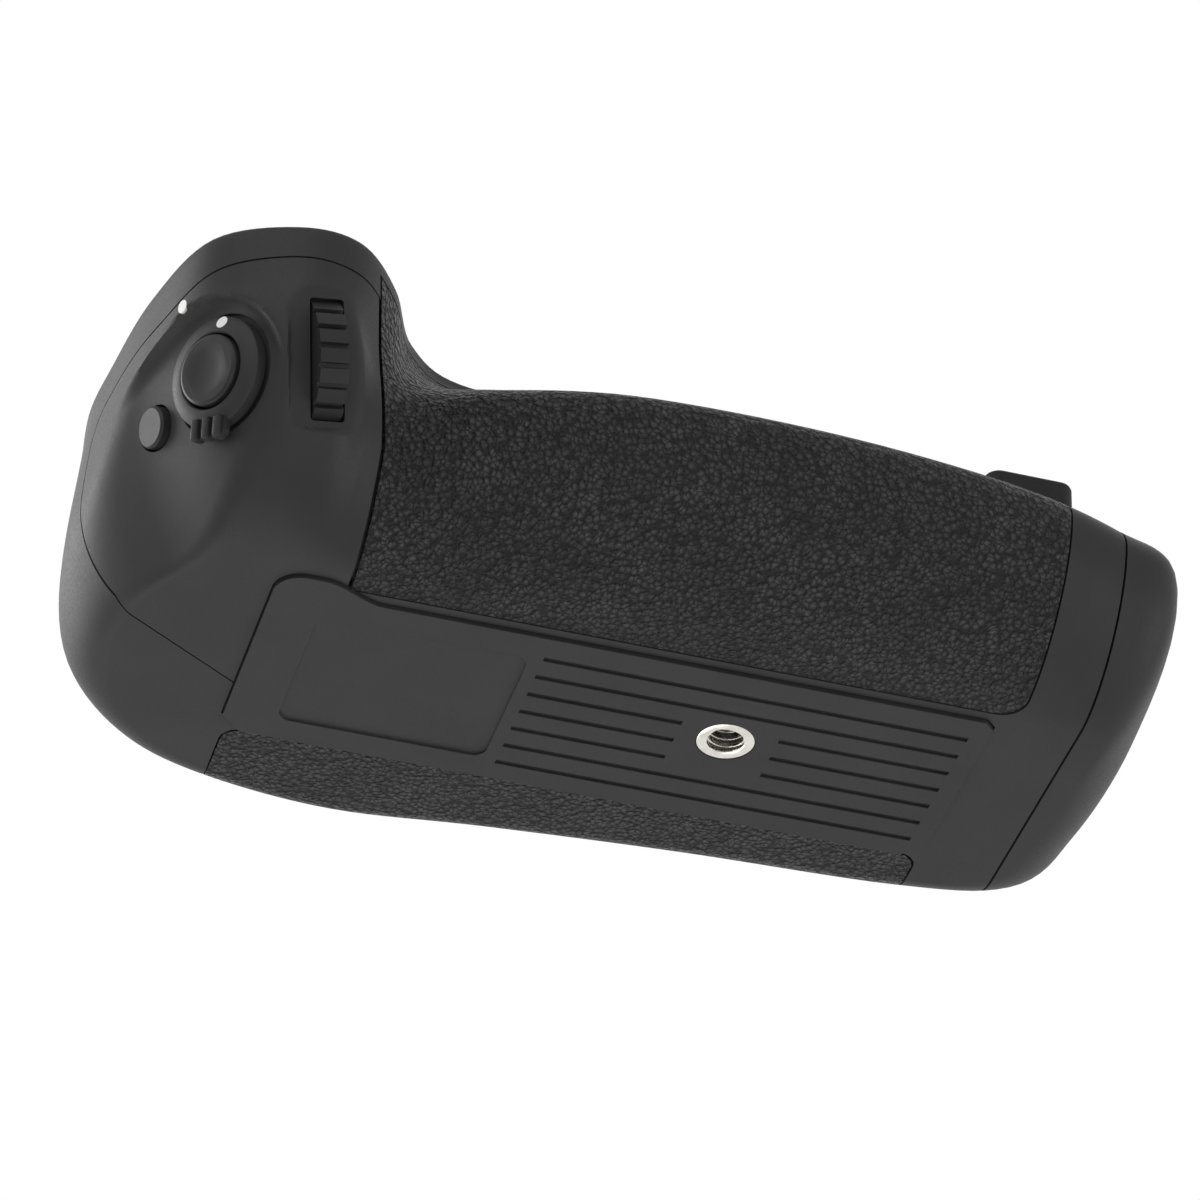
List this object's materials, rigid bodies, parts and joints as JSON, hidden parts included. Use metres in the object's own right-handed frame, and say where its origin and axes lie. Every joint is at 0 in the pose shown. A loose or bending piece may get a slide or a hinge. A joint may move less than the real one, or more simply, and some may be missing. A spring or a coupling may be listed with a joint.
{
  "type": "camera battery grip",
  "caption": "Screw-on camera battery grip with a leather-grain finger grip, shutter release in a lock collar, control dials, geared attachment wheel and a slide-out battery tray.",
  "frame": {"origin": "on the tripod socket's axis, in the plane of the bottom plate's face", "axes": "+X towards the battery tray's end, -Y towards the finger grip at the front, +Z towards the camera that stands on the deck"},
  "size_m": [0.1525, 0.0844, 0.0442],
  "materials": {
    "shell": "fine satin grain",
    "black_plastic": "satin",
    "grip_rubber": "leather grain",
    "nickel": "bright nickel",
    "steel": "stamped sheet and turned pins",
    "contact_gold": "gold plated",
    "circuit_board": "solder mask"
  },
  "bodies": {
    "grip": {"main_shell": "shell", "head_cover": "shell", "top_deck": "shell", "bottom_plate": "shell", "tripod_socket": "nickel", "front_grip_rubber": "grip_rubber", "rear_grip_rubber": "grip_rubber", "chamber_sleeve": "steel", "chamber_contacts": "contact_gold", "main_board": "circuit_board", "control_board": "circuit_board", "shutter_switch": "black_plastic", "function_switch": "black_plastic", "front_dial_axle": "steel", "rear_board": "circuit_board", "rear_dial_axle": "steel", "focus_switch": "black_plastic", "selector_base": "black_plastic", "gear_axles": "steel", "connector_post": "black_plastic", "connector_pins": "contact_gold", "locating_pins": "nickel", "deck_screws": "steel", "latch_striker": "steel"},
    "shutter": {"shutter_button": "black_plastic"},
    "collar": {"lock_collar": "shell", "collar_clip": "steel"},
    "function": {"function_button": "black_plastic"},
    "front_dial": {"front_dial": "black_plastic"},
    "rear_dial": {"rear_dial": "black_plastic"},
    "focus": {"focus_button": "black_plastic"},
    "selector_rocker": {"selector_rocker": "steel"},
    "selector_pad": {"selector_pad": "black_plastic"},
    "wheel": {"attachment_wheel": "black_plastic"},
    "idler": {"idler_gear": "steel"},
    "screw": {"camera_screw": "nickel"},
    "cap": {"contact_cap": "grip_rubber"},
    "tray": {"battery_tray": "black_plastic", "tray_cap": "shell", "tray_contacts": "contact_gold"},
    "latch": {"latch_knob": "black_plastic", "latch_lug": "steel"}
  },
  "joints": [
    {"name": "shutter_press", "type": "slide", "parent": "grip", "child": "shutter", "axis": [0.8101, 0.5261, 0.2588], "range_m": [0, 0.001], "stiffness_N_per_m": 400},
    {"name": "lock_turn", "type": "hinge", "parent": "grip", "child": "collar", "pos_m": [-0.0816, -0.034, 0.0193], "axis": [-0.8101, -0.5261, -0.2588], "range_deg": [0, 35]},
    {"name": "function_press", "type": "slide", "parent": "grip", "child": "function", "axis": [0.9095, 0.3091, 0.278], "range_m": [0, 0.0007], "stiffness_N_per_m": 400},
    {"name": "front_dial_spin", "type": "hinge", "parent": "grip", "child": "front_dial", "pos_m": [-0.06974, -0.03467, 0.02232], "axis": [0.9712, 0.0885, 0.221], "continuous": true},
    {"name": "rear_dial_spin", "type": "hinge", "parent": "grip", "child": "rear_dial", "pos_m": [-0.069, 0.0244, 0.023], "axis": [1, 0, 0], "continuous": true},
    {"name": "focus_press", "type": "slide", "parent": "grip", "child": "focus", "axis": [0, -1, 0], "range_m": [0, 0.0007], "stiffness_N_per_m": 400},
    {"name": "selector_tilt", "type": "hinge", "parent": "grip", "child": "selector_rocker", "pos_m": [-0.038, 0.028, 0.023], "axis": [1, 0, 0], "range_deg": [-5, 5], "stiffness_Nm_per_rad": 0.05},
    {"name": "selector_sway", "type": "hinge", "parent": "selector_rocker", "child": "selector_pad", "pos_m": [-0.038, 0.028, 0.023], "axis": [0, 0, 1], "range_deg": [-5, 5], "stiffness_Nm_per_rad": 0.05},
    {"name": "wheel_spin", "type": "hinge", "parent": "grip", "child": "wheel", "pos_m": [0.026, 0.0185, 0.034], "axis": [0, 0, 1], "continuous": true},
    {"name": "idler_spin", "type": "hinge", "parent": "grip", "child": "idler", "pos_m": [0.0123, 0.01023, 0.032], "axis": [0, 0, 1], "continuous": true},
    {"name": "screw_spin", "type": "hinge", "parent": "grip", "child": "screw", "pos_m": [0, 0, 0.032], "axis": [0, 0, 1], "continuous": true},
    {"name": "cap_lift", "type": "slide", "parent": "grip", "child": "cap", "axis": [0, 0, 1], "range_m": [0, 0.012]},
    {"name": "tray_slide", "type": "slide", "parent": "grip", "child": "tray", "axis": [1, 0, 0], "range_m": [0, 0.088]},
    {"name": "latch_turn", "type": "hinge", "parent": "tray", "child": "latch", "pos_m": [0.0564, 0.002, 0.019], "axis": [-1, 0, 0], "range_deg": [0, 90]}
  ],
  "couplings": [
    {"joint": "idler_spin", "follows": "wheel_spin", "ratio": -1},
    {"joint": "screw_spin", "follows": "wheel_spin", "ratio": 1}
  ]
}
